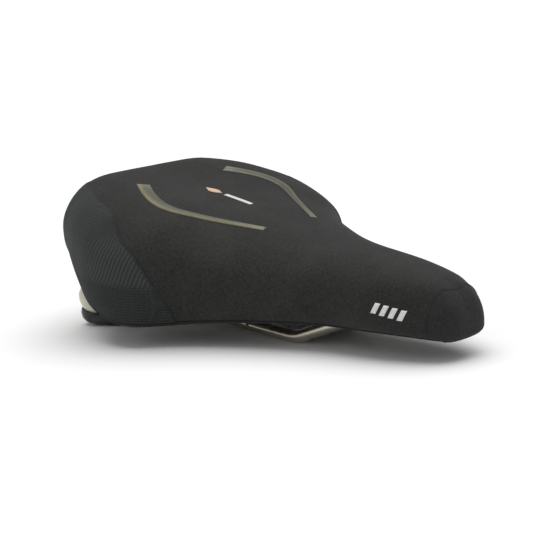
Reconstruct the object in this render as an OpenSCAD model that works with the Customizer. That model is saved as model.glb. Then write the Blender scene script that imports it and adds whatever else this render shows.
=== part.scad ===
// Sprung comfort bicycle saddle: rail and yoke below, padded seat hinged at the nose, two elastomers at the rear.
// Millimetres. +X points to the nose, +Y to the rider's left, +Z up.
// The origin lies midway between the rails, on their centreline, at the middle of the seatpost clamp zone.

/* [Rail] */
// Radius of the round rail
rail_r = 3.5; // [3.5:0.1:4]
// Distance between the rail centrelines in the clamp zone
rail_gauge = 44; // [43:0.5:44]
// Half length of the straight clamp zone
clamp_half = 34; // [28:1:36]
// Centreline bend radius of the long bends
bend_r = 24; // [20:4:24]

/* [Hinge at the nose] */
// Distance of the hinge bar ahead of the origin
hinge_x = 98; // [96:0.5:99]
// Height of the hinge bar above the clamp zone
hinge_z = 21.5; // [21:0.5:22]
// Radial clearance of the hinge bar in its cradle
hinge_gap = 0.05; // [0.03:0.01:0.08]
// Width of the cradle across the hinge bar
cradle_w = 9; // [8:0.5:9.5]

/* [Elastomers] */
// Height of an elastomer along its own axis
puck_h = 31; // [30:0.5:32]
// Largest radius of an elastomer
puck_r = 11.5; // [10:0.5:12]

/* [Seat layers] */
// Thickness of the cover fabric
cover_t = 1.0; // [0.8:0.1:1.2]
// Thickness of the moulded base shell
shell_t = 2.4; // [2:0.1:2.8]
// Gap between neighbouring layers
layer_gap = 0.1; // [0.08:0.01:0.12]

/* [Hidden] */
$fn = 48;

// ---- Shape of the seat ----
// Positions along the half outline run from u = 0 at the rear centre to u = 1 at the nose tip.

// Widest outline: [u, [x, y]]
OUTLINE = [
    [-0.08, [-124.5, -29]], [0, [-125.5, 0]], [0.08, [-124.5, 29]], [0.15, [-120.5, 54.5]],
    [0.22, [-103.5, 67]], [0.3, [-82.5, 78.5]], [0.4, [-59, 86.5]], [0.5, [-32, 84.5]],
    [0.6, [-3, 63.5]], [0.7, [59, 37.5]], [0.8, [99.5, 31.5]], [0.88, [126, 24]],
    [0.95, [141.5, 13.5]], [1, [143.5, 0]], [1.05, [141.5, -13.5]],
];
// Height of the top centreline: [x, z]
TOP = [[-131, 67.5], [-96, 69.5], [-56, 65.5], [-16, 61.5], [34, 54], [84, 51], [142, 43.5]];
// Height of the widest outline: [u, z]
WAIST = [[0, 42], [0.2, 42.5], [0.4, 36.5], [0.55, 29], [0.7, 24.5], [0.85, 23], [1, 19.5]];
// Height of the bottom edge: [u, z]
RIM = [[0, 30.5], [0.2, 28], [0.4, 8], [0.55, 5], [0.7, 14], [0.85, 16.5], [1, 14.5]];
// How far the bottom edge tucks in: [u, mm]
TUCK = [[0, 3.5], [0.2, 3.5], [0.4, 3.5], [0.55, 3], [0.7, 4.5], [0.85, 7.5], [1, 8]];
// Extra crown between the widest outline and the centreline: [u, mm]
CROWN = [[0, 7], [0.2, 7], [0.4, 5.5], [0.55, 0.5], [0.7, -0.5], [0.85, 1], [1, -1]];
// Pad thickness over the shell: [x, mm]
PAD = [[-125, 26], [-60, 27], [0, 24], [60, 17], [143, 14]];
// The straight spine that the top rings shrink onto
SPINE_REAR = -81;
SPINE_NOSE = 122;
DOME_POWER = 2.3;
// The last ring keeps this share of the half width, and a strip of triangles closes it
LAST_RING = 0.04;

OUTER = 0.4;
FOAM_OUT = OUTER + cover_t + layer_gap;
FOAM_IN = FOAM_OUT + 1;
SHELL_OUT = FOAM_IN + layer_gap;
SHELL_IN = SHELL_OUT + shell_t;
HEM_OUT = SHELL_IN + layer_gap;
HEM_IN = HEM_OUT + cover_t;
RIM_LIFT = cover_t + layer_gap;

STATIONS = 24;
SKIRT_STEPS = 3;
DOME_STEPS = 9;

function mix(a, b, t) = a + (b - a) * t;
function limit(v, low, high) = max(low, min(high, v));
function slope(p, i) =
    let (a = max(i - 1, 0), b = min(i + 1, len(p) - 1)) (p[b][1] - p[a][1]) / (p[b][0] - p[a][0]);
function span(p, t, i = 0) = i >= len(p) - 2 || t < p[i + 1][0] ? i : span(p, t, i + 1);
// Smooth curve through a list of [position, value] pairs
function along(p, at) =
    let (
        t = limit(at, p[0][0], p[len(p) - 1][0]),
        i = span(p, t),
        h = p[i + 1][0] - p[i][0],
        s = (t - p[i][0]) / h
    )
    (2 * s ^ 3 - 3 * s ^ 2 + 1) * p[i][1] + (s ^ 3 - 2 * s ^ 2 + s) * h * slope(p, i)
    + (3 * s ^ 2 - 2 * s ^ 3) * p[i + 1][1] + (s ^ 3 - s ^ 2) * h * slope(p, i + 1);
function unit(v) = v / norm(v);
// Inward direction of the outline at u
function inward(u) =
    let (d = unit(along(OUTLINE, u + 0.001) - along(OUTLINE, u - 0.001))) [d[1], -d[0]];
function dome(g) = (1 - g ^ DOME_POWER) ^ (1 / DOME_POWER);
function tuck(s) = 1 - sqrt(1 - s * s);
function half(u) = u > 1 ? 2 - u : u;
function side(u) = u > 1 ? -1 : 1;
function shrink(p, g) = let (c = limit(p[0], SPINE_REAR, SPINE_NOSE)) [c + (p[0] - c) * g, p[1] * g];

// A point of the padded outside. u from 0 to 2 goes round the outline, w = 0 at the bottom edge, 1 at the
// widest outline and 2 on the spine. The surface is moved in by d at the sides and down by d at the top.
function skin(u, w, d) =
    let (
        h = half(u),
        s = limit(1 - w, 0, 1),
        g = w > 1 ? cos((w - 1) * 90) : 1,
        flat = along(OUTLINE, h) + inward(h) * (d + along(TUCK, h) * tuck(s)),
        p = shrink(flat, g),
        waist = along(WAIST, h),
        z = w < 1 ? mix(waist, along(RIM, h), s)
            : waist + (along(TOP, p[0]) - d - waist) * dome(g) + along(CROWN, h) * 4 * g ^ 2 * (1 - g ^ 2)
    )
    [p[0], side(u) * p[1], z];
// A point of the shell's outside, from the bottom edge at w = 0 to the spine at w = 1. It is moved in by d
// and down by drop.
function under(u, w, d, drop) =
    let (
        h = half(u),
        g = cos(w * 90),
        p = shrink(along(OUTLINE, h) + inward(h) * (d + along(TUCK, h)), g),
        low = along(RIM, h) + RIM_LIFT
    )
    [p[0], side(u) * p[1], low + (along(TOP, p[0]) - along(PAD, p[0]) - drop - low) * dome(g)];

// Stations round the outline, and the heights of the rings on the padded outside and on the shell
ROUND = [for (i = [0 : 2 * STATIONS - 1]) i / STATIONS];
TOP_LIMIT = acos(LAST_RING) / 90;
SKIN_UP = [
    for (k = [0 : SKIRT_STEPS - 1]) k / SKIRT_STEPS,
    for (k = [0 : DOME_STEPS]) 1 + TOP_LIMIT * k / DOME_STEPS,
];
UNDER_UP = [for (k = [0 : DOME_STEPS]) TOP_LIMIT * k / DOME_STEPS];

function skin_ring(w, d) = [for (u = ROUND) skin(u, w, d)];
function under_ring(w, d, drop) = [for (u = ROUND) under(u, w, d, drop)];
function lift(ring, dz) = [for (p = ring) p + [0, 0, dz]];
function backwards(list) = [for (i = [len(list) - 1 : -1 : 0]) list[i]];
function flatten(lists) = [for (l = lists) for (x = l) x];
// Rows of skin points over stations first to last and rings low to high
function skin_grid(first, last, low, high, d) =
    [for (k = [low : high]) [for (i = [first : last]) skin(i / STATIONS, SKIN_UP[k], d)]];

// Closed solid through a stack of rings, with a strip of triangles across the first and the last one.
// The first falling rings go down the outside. The rest come up the inside. Both sides, outside and inside
// share the same diagonals, so neighbouring layers stay parallel.
module ring_stack(rings, falling) {
    n = len(rings[0]);
    m = len(rings);
    h = n / 2;
    last = (m - 1) * n;
    walls = [
        for (k = [0 : m - 2]) for (i = [0 : n - 1])
            let (a = k * n + i, b = k * n + (i + 1) % n, flip = (k < falling - 1) != (i >= h))
            each flip ? [[a, a + n, b], [b, a + n, b + n]] : [[a, b + n, b], [a, a + n, b + n]]
    ];
    strip = [
        [0, 1, n - 1],
        [h, h + 1, h - 1],
        for (i = [1 : h - 2]) each [[i, n - i - 1, n - i], [i, i + 1, n - i - 1]],
    ];
    polyhedron(
        points = flatten(rings),
        faces = [each walls, each strip, for (f = strip) [f[0] + last, f[2] + last, f[1] + last]],
        convexity = 8
    );
}

// Closed sheet between two grids of points with the same rows and columns
module sheet(front, back) {
    m = len(front);
    n = len(front[0]);
    o = m * n;
    cells = [
        for (r = [0 : m - 2]) for (c = [0 : n - 2])
            let (a = r * n + c) [a, a + 1, a + n + 1, a + n]
    ];
    edge = [
        for (c = [0 : n - 1]) c,
        for (r = [1 : m - 1]) r * n + n - 1,
        for (c = [n - 2 : -1 : 0]) (m - 1) * n + c,
        for (r = [m - 2 : -1 : 1]) r * n,
    ];
    e = len(edge);
    polyhedron(
        points = concat(flatten(front), flatten(back)),
        faces = [
            for (q = cells) each [[q[0], q[1], q[2]], [q[0], q[2], q[3]]],
            for (q = cells) each [[q[2] + o, q[1] + o, q[0] + o], [q[3] + o, q[2] + o, q[0] + o]],
            for (i = [0 : e - 1]) let (a = edge[i], b = edge[(i + 1) % e]) each [[b, a, a + o], [b, a + o, b + o]],
        ],
        convexity = 6
    );
}

// Moves its children so that their Z axis starts at a point and runs in a direction
module aim(from, direction) {
    z = unit(direction);
    x = unit(cross(abs(z[2]) > 0.9 ? [0, 1, 0] : [0, 0, 1], z));
    y = cross(z, x);
    multmatrix([
        [x[0], y[0], z[0], from[0]],
        [x[1], y[1], z[1], from[1]],
        [x[2], y[2], z[2], from[2]],
        [0, 0, 0, 1],
    ]) children();
}

module both_sides() {
    children();
    mirror([0, 1, 0]) children();
}

// ---- Rail: one bent rod ----

rail_y = rail_gauge / 2;
flare = 18;
rise = 24.5;
closing = 9;
corner_r = 7;
bar_half = 12.5;
rear_run = 53;
REAR_DIR = [-cos(flare), sin(flare), 0];
FRONT_DIR = [cos(rise) * cos(closing), -cos(rise) * sin(closing), sin(rise)];
front_turn = acos(cos(rise) * cos(closing));
REAR_KNEE = [-clamp_half - bend_r * tan(flare / 2), rail_y, 0];
FRONT_KNEE = [clamp_half + bend_r * tan(front_turn / 2), rail_y, 0];
RAIL_END = REAR_KNEE + REAR_DIR * rear_run;
NOSE_KNEE = FRONT_KNEE + FRONT_DIR * hinge_z / sin(rise);
BAR_CORNER = [hinge_x, bar_half, hinge_z];
BAR_MIDDLE = [hinge_x, 0, hinge_z];
HALF_RAIL = [RAIL_END, REAR_KNEE, FRONT_KNEE, NOSE_KNEE, BAR_CORNER, BAR_MIDDLE];
HALF_BENDS = [0, bend_r, bend_r, bend_r, corner_r, 0];

// A bend has flat-sided section a hair smaller than the rod, so that it joins the round stretches cleanly
BEND_SIDES = 24;
bend_inset = 0.02;

function turn_at(p, i) = i == 0 || i == len(p) - 1 ? 0 : acos(unit(p[i] - p[i - 1]) * unit(p[i + 1] - p[i]));
function trim_at(p, r, i) = r[i] * tan(turn_at(p, i) / 2);

module straight(p, bends, r, i) {
    d = unit(p[i + 1] - p[i]);
    start = p[i] + d * trim_at(p, bends, i);
    aim(start, d) cylinder(r = r, h = norm(p[i + 1] - start) - trim_at(p, bends, i + 1));
}

module bend(p, bends, r, i) {
    before = unit(p[i] - p[i - 1]);
    after = unit(p[i + 1] - p[i]);
    x = -unit(after - before * (before * after));
    z = cross(x, before);
    c = p[i] - before * trim_at(p, bends, i) - x * bends[i];
    multmatrix([
        [x[0], before[0], z[0], c[0]],
        [x[1], before[1], z[1], c[1]],
        [x[2], before[2], z[2], c[2]],
        [0, 0, 0, 1],
    ]) rotate_extrude(angle = turn_at(p, i)) translate([bends[i], 0]) polygon([
        for (k = [0 : BEND_SIDES - 1]) (r - bend_inset) * [cos(360 * k / BEND_SIDES), sin(360 * k / BEND_SIDES)]
    ]);
}

// Rod along p from point i on, joined one stretch at a time
module bent_rod(p, bends, r, i = 0) {
    straight(p, bends, r, i);
    if (i < len(p) - 2) union() {
        bend(p, bends, r, i + 1);
        bent_rod(p, bends, r, i + 1);
    }
}

module rail() {
    color("#8a8474") both_sides() bent_rod(HALF_RAIL, HALF_BENDS, rail_r);
}

// ---- Elastomers and yoke ----

// An elastomer leans inwards and forwards from its cup to its boss under the shell
PUCK_FOOT = [-101.5, 48.5, -7.5];
PUCK_LEAN = [2.9, -3.9, 31];
puck_foot_r = 7;
puck_waist_r = 8;
screw_r = 2.5;
screw_into = 8;
peg_r = 3;
peg_h = 6;
cup_h = 6.4;
cup_in = 7.8;
cup_out = 8.8;

module at_puck() {
    aim(PUCK_FOOT, PUCK_LEAN) children();
}

// Profile of one round bulge between two heights, as points from bottom to top
function bulge(low, high, r_low, r_mid, r_high) = [
    for (i = [0 : 8]) let (t = i / 8, r = mix(r_low, r_high, t)) [r + (r_mid - r) * sin(180 * t), mix(low, high, t)]
];

module elastomer() {
    difference() {
        rotate_extrude() polygon([
            [0, 0],
            each bulge(0, puck_h * 0.58, puck_foot_r, puck_r, puck_waist_r),
            each bulge(puck_h * 0.6, puck_h, puck_waist_r, puck_r - 1.5, puck_waist_r),
            [0, puck_h],
        ]);
        translate([0, 0, -1]) cylinder(r = screw_r + 0.05, h = screw_into + 1.5);
        translate([0, 0, puck_h - peg_h - 0.5]) cylinder(r = peg_r + 0.4, h = peg_h + 1);
    }
}

module left_elastomer() {
    color("#cfd0b0") at_puck() elastomer();
}

module right_elastomer() {
    color("#cfd0b0") mirror([0, 1, 0]) at_puck() elastomer();
}

module elastomer_screws() {
    color("silver") both_sides() at_puck() translate([0, 0, -cup_h]) {
        difference() {
            cylinder(r = 4.5, h = 2.8);
            translate([0, 0, -1]) cylinder(r = 1.75, h = 3, $fn = 6);
        }
        translate([0, 0, 2.8]) cylinder(r = screw_r, h = cup_h - 2.8 + screw_into);
    }
}

beam_r = 60;
beam_w = 11;
beam_h = 7;
beam_rear_x = -86;
socket_r = 6.5;
socket_run = 24;
floor_gap = 0.1;
plate_z = -12.5;
plate_t = 5.4;

module yoke_half() {
    at_puck() rotate_extrude() polygon([
        [0, -cup_h], [5.6, -cup_h], [7.6, -4.6], [cup_out, -1.8], [cup_out, 0.6], [cup_in, 0.6],
        [cup_in, -floor_gap], [0, -floor_gap],
    ]);
    aim(RAIL_END - REAR_DIR * (socket_run - 3), REAR_DIR) cylinder(r = socket_r, h = socket_run);
    // Plate from under the socket out to the cup
    translate([-80, 38, plate_z]) rotate([0, 0, 150]) translate([0, -7.5, 0]) cube([24, 15, plate_t]);
    // Web between the plate and the socket
    translate([-80, 38, plate_z]) rotate([0, 0, 160]) translate([-6, -5, 0]) cube([16, 8, -plate_z]);
}

module rear_yoke() {
    color("#1c1c1c") difference() {
        union() {
            both_sides() yoke_half();
            translate([beam_rear_x + beam_r, 0, -beam_h / 2]) rotate([0, 0, 180 - 35])
                rotate_extrude(angle = 70) translate([beam_r - beam_w / 2, 0]) square([beam_w, beam_h]);
        }
        both_sides() {
            aim(RAIL_END, -REAR_DIR) cylinder(r = rail_r + 0.05, h = 40);
            at_puck() translate([0, 0, -cup_h - 0.1]) cylinder(r = 4.8, h = 3);
            at_puck() translate([0, 0, -cup_h]) cylinder(r = screw_r + 0.1, h = 20);
            at_puck() cylinder(r = cup_in, h = 20);
            at_puck() translate([0, 0, 0.6]) cylinder(r = puck_r + 0.4, h = 20);
        }
    }
}

// ---- Shell and its hinge at the nose ----

cradle_l = 22;
cradle_up = 6.5;
cap_h = 5.5;
nose_pitch = 15;
nose_screw_r = 2;
nose_screw_into = 3;
clip_x = -94;
clip_z = 27;
CLIP = [22, 40, 8];
clip_pitch = 28;
boss_r = 3.6;

module at_nose_screws() {
    for (s = [-1, 1]) translate([hinge_x + s * nose_pitch / 2, 0, 0]) children();
}

module at_clip_screws() {
    for (s = [-1, 1]) translate([clip_x, s * clip_pitch / 2, 0]) children();
}

module shell_dome() {
    outside = [for (w = backwards(UNDER_UP)) under_ring(w, SHELL_OUT, layer_gap)];
    inside = [for (w = UNDER_UP) under_ring(w, SHELL_IN, layer_gap + shell_t)];
    ring_stack([each outside, each inside], len(outside));
}

module base_shell() {
    color("#222222") difference() {
        union() {
            shell_dome();
            both_sides() at_puck() translate([0, 0, puck_h + 0.05]) {
                cylinder(r = boss_base_r, h = boss_straight);
                translate([0, 0, boss_straight]) cylinder(r1 = boss_base_r, r2 = 3, h = boss_taper);
                translate([0, 0, -peg_h]) cylinder(r = peg_r, h = peg_h + 1);
            }
            at_nose_screws() translate([0, 0, hinge_z + cradle_up]) cylinder(r = boss_r, h = nose_boss_h);
            at_clip_screws() translate([0, 0, clip_z + CLIP[2]]) cylinder(r = boss_r, h = clip_boss_h);
        }
        at_nose_screws() translate([0, 0, hinge_z + cradle_up - 1]) cylinder(r = nose_screw_r + 0.05, h = nose_screw_into + 1.3);
        at_clip_screws() translate([0, 0, clip_z + CLIP[2] - 1]) cylinder(r = nose_screw_r + 0.05, h = nose_screw_into + 1.3);
    }
}

boss_base_r = 8.5;
boss_straight = 10;
boss_taper = 4.8;
nose_boss_h = 4.9;
clip_boss_h = 6;

module hinge_bore() {
    translate([hinge_x, 0, hinge_z]) rotate([90, 0, 0])
        cylinder(r = rail_r + hinge_gap, h = cradle_w + 2, center = true);
}

module nose_cradle() {
    color("#1c1c1c") difference() {
        translate([hinge_x - cradle_l / 2, -cradle_w / 2, hinge_z]) cube([cradle_l, cradle_w, cradle_up]);
        hinge_bore();
        at_nose_screws() cylinder(r = nose_screw_r + 0.1, h = 60);
    }
}

module nose_cap() {
    color("#1c1c1c") difference() {
        translate([hinge_x - cradle_l / 2, -cradle_w / 2, hinge_z - cap_h]) cube([cradle_l, cradle_w, cap_h]);
        hinge_bore();
        at_nose_screws() cylinder(r = nose_screw_r + 0.1, h = 60);
    }
}

// Pan-head screw with a hexagon socket, head down, its seat at z = 0
module pan_screw(r, length) {
    difference() {
        translate([0, 0, -2.4]) cylinder(r = 3.5, h = 2.4);
        translate([0, 0, -3]) cylinder(r = 1.3, h = 2, $fn = 6);
    }
    cylinder(r = r, h = length);
}

module nose_screws() {
    color("silver") at_nose_screws() translate([0, 0, hinge_z - cap_h])
        pan_screw(nose_screw_r, cap_h + cradle_up + nose_screw_into);
}

module accessory_clip() {
    color("#1c1c1c") translate([clip_x, 0, clip_z]) difference() {
        translate([-CLIP[0] / 2, -CLIP[1] / 2, 0]) cube(CLIP);
        // Channel for the sliding foot of a bag or lamp, open to the rear
        translate([-CLIP[0] / 2 - 1, -8, -1]) cube([CLIP[0] - 3, 16, 4]);
        translate([-CLIP[0] / 2 - 1, -11, 2.5]) cube([CLIP[0] - 3, 22, 3]);
        for (s = [-1, 1]) translate([0, s * clip_pitch / 2, -1]) {
            cylinder(r = nose_screw_r + 0.1, h = 20);
            cylinder(r = 3.8, h = 3.6);
        }
    }
}

module clip_screws() {
    color("silver") at_clip_screws() translate([0, 0, clip_z + 2.6])
        pan_screw(nose_screw_r, CLIP[2] - 2.6 + nose_screw_into);
}

// ---- Pad, gel and cover ----

// Stations and rings of the gel inserts, and how deep they lie in the pad
GEL_FIRST = 8;
GEL_LAST = 15;
GEL_LOW = 8;
GEL_HIGH = 10;
gel_depth = 4;

function in_gel(i, k) =
    let (h = i > STATIONS ? 2 * STATIONS - i : i)
    h >= GEL_FIRST && h <= GEL_LAST && k >= GEL_LOW && k <= GEL_HIGH;
function pad_ring(k) = [
    for (i = [0 : 2 * STATIONS - 1])
        skin(ROUND[i], SKIN_UP[k], FOAM_OUT + (in_gel(i, k) ? gel_depth + layer_gap : 0))
        + [0, 0, k == 0 ? RIM_LIFT : 0]
];

module foam_pad() {
    outside = [for (k = [len(SKIN_UP) - 1 : -1 : 0]) pad_ring(k)];
    inside = [for (w = UNDER_UP) under_ring(w, FOAM_IN, 0)];
    color("#d8cfa8") ring_stack([each outside, each inside], len(outside));
}

module gel_pad() {
    sheet(
        skin_grid(GEL_FIRST, GEL_LAST, GEL_LOW, GEL_HIGH, FOAM_OUT),
        skin_grid(GEL_FIRST, GEL_LAST, GEL_LOW, GEL_HIGH, FOAM_OUT + gel_depth)
    );
}

module left_gel_pad() {
    color("#b3b58a") gel_pad();
}

module right_gel_pad() {
    color("#b3b58a") mirror([0, 1, 0]) gel_pad();
}

module cover() {
    outside = [for (w = backwards(SKIN_UP)) skin_ring(w, OUTER)];
    bottom = lift(under_ring(0, HEM_IN, 0), -RIM_LIFT);
    hem_inside = under_ring(UNDER_UP[1], HEM_IN, 2 * layer_gap + shell_t + cover_t);
    hem_outside = under_ring(UNDER_UP[1], HEM_OUT, 2 * layer_gap + shell_t);
    fold = lift(under_ring(0, HEM_OUT, 0), -layer_gap);
    inside = [for (w = SKIN_UP) lift(skin_ring(w, OUTER + cover_t), w == 0 ? cover_t : 0)];
    color("#333333") ring_stack(
        [each outside, bottom, hem_inside, hem_outside, fold, each inside], len(outside)
    );
}

staple_l = 8;
staple_t = 0.7;
staple_off = 1.3;

module staples() {
    low = under_ring(0, HEM_IN, 0);
    high = under_ring(UNDER_UP[1], HEM_IN, 2 * layer_gap + shell_t + cover_t);
    color("silver") for (i = [1 : 2 : len(low) - 2]) {
        a = (low[i] + high[i]) / 2;
        b = (low[i + 1] + high[i + 1]) / 2;
        d = unit(b - a);
        inwards = unit(cross(d, [0, 0, 1]));
        // None at the tight nose, where the hem is only folded
        if (a[0] < 118) aim((a + b) / 2 + inwards * staple_off - d * staple_l / 2, d)
            translate([-staple_t / 2, -staple_t / 2, 0]) cube([staple_t, staple_t, staple_l]);
    }
}

// ---- Pieces that lie on the cover ----

sheet_t = 0.32;

// The thin layer over the cover between two stations and two rings
module layer(first, last, low, high) {
    sheet(skin_grid(first, last, low, high, 0), skin_grid(first, last, low, high, sheet_t));
}

// Front edge of a rear panel, seen from the side: [x, z]
PANEL_EDGE = [
    [-104, 69], [-92, 69.5], [-81, 69], [-64, 64], [-53, 58.5], [-44, 52.5], [-35, 47],
    [-29, 43.5], [-23, 36], [-18, 27], [-15, 20], [-11.5, 12], [-10, 0],
];

module rear_panel() {
    intersection() {
        layer(1, 15, 0, 7);
        rotate([90, 0, 0]) translate([0, 0, -120]) linear_extrude(height = 119)
            polygon([each PANEL_EDGE, [-140, 0], [-140, 66]]);
    }
}

module left_rear_panel() {
    color("#2b3033") rear_panel();
}

module right_rear_panel() {
    color("#2b3033") mirror([0, 1, 0]) rear_panel();
}

nose_panel_x = 132;

module nose_panel() {
    color("#2b3033") intersection() {
        both_sides() layer(STATIONS - 3, STATIONS, 0, 9);
        translate([nose_panel_x, -50, 0]) cube([30, 100, 100]);
    }
}

// Centre line of a gel window in plan, and its half width: [x, y], [x, mm]
WINDOW_LINE = [[-77, 31], [-62, 39.5], [-49, 44], [-37, 43], [-22, 36], [-4, 27], [12, 19]];
WINDOW_HALF = [[-77, 4.2], [-50, 4], [-20, 2.6], [12, 2]];

module gel_window() {
    steps = 16;
    xs = [for (i = [0 : steps]) mix(-76, 12, i / steps)];
    intersection() {
        layer(7, 16, 7, 11);
        linear_extrude(height = 100) polygon([
            for (x = xs) [x, along(WINDOW_LINE, x) + along(WINDOW_HALF, x)],
            for (x = backwards(xs)) [x, along(WINDOW_LINE, x) - along(WINDOW_HALF, x)],
        ]);
    }
}

module left_gel_window() {
    color("#8d8f7c") gel_window();
}

module right_gel_window() {
    color("#8d8f7c") mirror([0, 1, 0]) gel_window();
}

// A point over the centreline, level with the edge of the closing strip at a station
function centre_point(i, d, y) = let (p = skin(i / STATIONS, SKIN_UP[len(SKIN_UP) - 1], d)) [p[0], y, p[2]];

// Plain generic mark on top: a lozenge and a bar along the centreline
module top_badge() {
    color("#e8e4dc") intersection() {
        sheet(
            [for (s = [1, -1]) [for (i = [9 : 15]) centre_point(i, 0, s * 6)]],
            [for (s = [1, -1]) [for (i = [9 : 15]) centre_point(i, sheet_t, s * 6)]]
        );
        linear_extrude(height = 100) {
            polygon([[-58, 0], [-51, 3.6], [-43, 0], [-51, -3.6]]);
            translate([-41, -1.6]) square([22, 3.2]);
        }
    }
}

module side_badge() {
    intersection() {
        layer(18, 22, 2, 7);
        rotate([90, 0, 0]) translate([0, 0, -60]) linear_extrude(height = 59) {
            for (i = [0 : 3]) translate([102 + 5 * i, 28 - 0.6 * i]) polygon([[0, 0], [3, 0], [5, 5.5], [2, 5.5]]);
        }
    }
}

module left_side_badge() {
    color("#f0f0f0") side_badge();
}

module right_side_badge() {
    color("#f0f0f0") mirror([0, 1, 0]) side_badge();
}

rail();
rear_yoke();
left_elastomer();
right_elastomer();
elastomer_screws();
base_shell();
nose_cradle();
nose_cap();
nose_screws();
foam_pad();
left_gel_pad();
right_gel_pad();
cover();
staples();
left_rear_panel();
right_rear_panel();
nose_panel();
left_gel_window();
right_gel_window();
top_badge();
left_side_badge();
right_side_badge();
accessory_clip();
clip_screws();
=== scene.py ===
"""Comfort bicycle saddle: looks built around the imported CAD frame."""

import math

import bmesh
import bpy
import numpy as np
from mathutils import Matrix, Vector


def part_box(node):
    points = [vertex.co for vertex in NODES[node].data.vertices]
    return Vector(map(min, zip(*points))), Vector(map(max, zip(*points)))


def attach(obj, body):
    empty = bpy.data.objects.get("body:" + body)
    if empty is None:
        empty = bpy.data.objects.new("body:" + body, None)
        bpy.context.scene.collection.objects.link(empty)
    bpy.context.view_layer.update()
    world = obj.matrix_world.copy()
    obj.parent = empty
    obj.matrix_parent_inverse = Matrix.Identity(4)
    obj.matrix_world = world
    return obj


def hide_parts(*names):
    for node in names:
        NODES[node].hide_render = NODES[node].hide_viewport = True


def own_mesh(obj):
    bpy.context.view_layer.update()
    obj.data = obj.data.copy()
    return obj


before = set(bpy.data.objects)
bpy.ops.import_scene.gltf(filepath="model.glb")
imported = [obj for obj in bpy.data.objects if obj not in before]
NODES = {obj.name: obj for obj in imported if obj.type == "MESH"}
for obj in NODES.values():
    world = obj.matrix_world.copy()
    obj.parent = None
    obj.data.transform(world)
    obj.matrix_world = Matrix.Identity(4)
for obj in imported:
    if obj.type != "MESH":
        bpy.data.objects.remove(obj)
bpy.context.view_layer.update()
MM = 0.001
SIDES = (("left", 1), ("right", -1))

# ---------------------------------------------------------------- seat shape
# Shape tables of the seat in millimetres, the same as in the part's source.
# u runs round half the outline from the rear centre (0) to the nose tip (1).
OUTLINE = [
    (-0.08, (-124.5, -29)), (0, (-125.5, 0)), (0.08, (-124.5, 29)), (0.15, (-120.5, 54.5)),
    (0.22, (-103.5, 67)), (0.3, (-82.5, 78.5)), (0.4, (-59, 86.5)), (0.5, (-32, 84.5)),
    (0.6, (-3, 63.5)), (0.7, (59, 37.5)), (0.8, (99.5, 31.5)), (0.88, (126, 24)),
    (0.95, (141.5, 13.5)), (1, (143.5, 0)), (1.05, (141.5, -13.5)),
]
TOP = [(-131, 67.5), (-96, 69.5), (-56, 65.5), (-16, 61.5), (34, 54), (84, 51), (142, 43.5)]
WAIST = [(0, 42), (0.2, 42.5), (0.4, 36.5), (0.55, 29), (0.7, 24.5), (0.85, 23), (1, 19.5)]
RIM = [(0, 30.5), (0.2, 28), (0.4, 8), (0.55, 5), (0.7, 14), (0.85, 16.5), (1, 14.5)]
TUCK = [(0, 3.5), (0.2, 3.5), (0.4, 3.5), (0.55, 3), (0.7, 4.5), (0.85, 7.5), (1, 8)]
CROWN = [(0, 7), (0.2, 7), (0.4, 5.5), (0.55, 0.5), (0.7, -0.5), (0.85, 1), (1, -1)]
PAD = [(-125, 26), (-60, 27), (0, 24), (60, 17), (143, 14)]
SPINE_REAR, SPINE_NOSE, DOME_POWER = -81.0, 122.0, 2.3
COVER_T, SHELL_T, GAP, OUTER = 1.0, 2.4, 0.1, 0.4
FOAM_OUT = OUTER + COVER_T + GAP
FOAM_IN = FOAM_OUT + 1
SHELL_OUT = FOAM_IN + GAP
SHELL_IN = SHELL_OUT + SHELL_T
HEM_OUT = SHELL_IN + GAP
HEM_IN = HEM_OUT + COVER_T
RIM_LIFT = COVER_T + GAP
# The cover's hem ends at this height on the shell's inside
HEM_W = 0.108
HEM_ROLL = 1.6


def along(table, at):
    """Smooth curve through [position, value] pairs."""
    at = min(max(at, table[0][0]), table[-1][0])
    n = len(table)
    i = 0
    while i < n - 2 and at >= table[i + 1][0]:
        i += 1

    def value(k):
        return np.asarray(table[k][1], float)

    def slope(k):
        a, b = max(k - 1, 0), min(k + 1, n - 1)
        return (value(b) - value(a)) / (table[b][0] - table[a][0])

    h = table[i + 1][0] - table[i][0]
    s = (at - table[i][0]) / h
    return (
        (2 * s**3 - 3 * s**2 + 1) * value(i)
        + (s**3 - 2 * s**2 + s) * h * slope(i)
        + (3 * s**2 - 2 * s**3) * value(i + 1)
        + (s**3 - s**2) * h * slope(i + 1)
    )


def tabled(table, steps=3000):
    low, high = table[0][0], table[-1][0]
    values = [float(along(table, low + (high - low) * i / steps)) for i in range(steps + 1)]
    scale = steps / (high - low)

    def look(x):
        t = min(max((x - low) * scale, 0.0), steps - 1e-6)
        i = int(t)
        return values[i] + (values[i + 1] - values[i]) * (t - i)

    return look


top_at, pad_at = tabled(TOP), tabled(PAD)
_station = {}


def station(u):
    """Outline point, inward direction and the heights at one place round the half outline."""
    key = round(u, 6)
    if key not in _station:
        d = along(OUTLINE, u + 0.001) - along(OUTLINE, u - 0.001)
        d = d / np.linalg.norm(d)
        x, y = along(OUTLINE, u)
        _station[key] = (
            float(x), float(y), float(d[1]), -float(d[0]), float(along(WAIST, u)),
            float(along(RIM, u)), float(along(TUCK, u)), float(along(CROWN, u)),
        )
    return _station[key]


def smooth(a, b, t):
    """0 at a and 1 at b, eased at both ends."""
    t = min(max((t - a) / (b - a), 0), 1)
    return t * t * (3 - 2 * t)


def crossing(low, high, steps, before):
    """A narrow span, from low to high, in which before(at) turns from true to false."""
    for _ in range(steps):
        mid = (low + high) / 2
        if before(mid):
            low = mid
        else:
            high = mid
    return low, high


def dome(g):
    return (1 - g**DOME_POWER) ** (1 / DOME_POWER)


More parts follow.
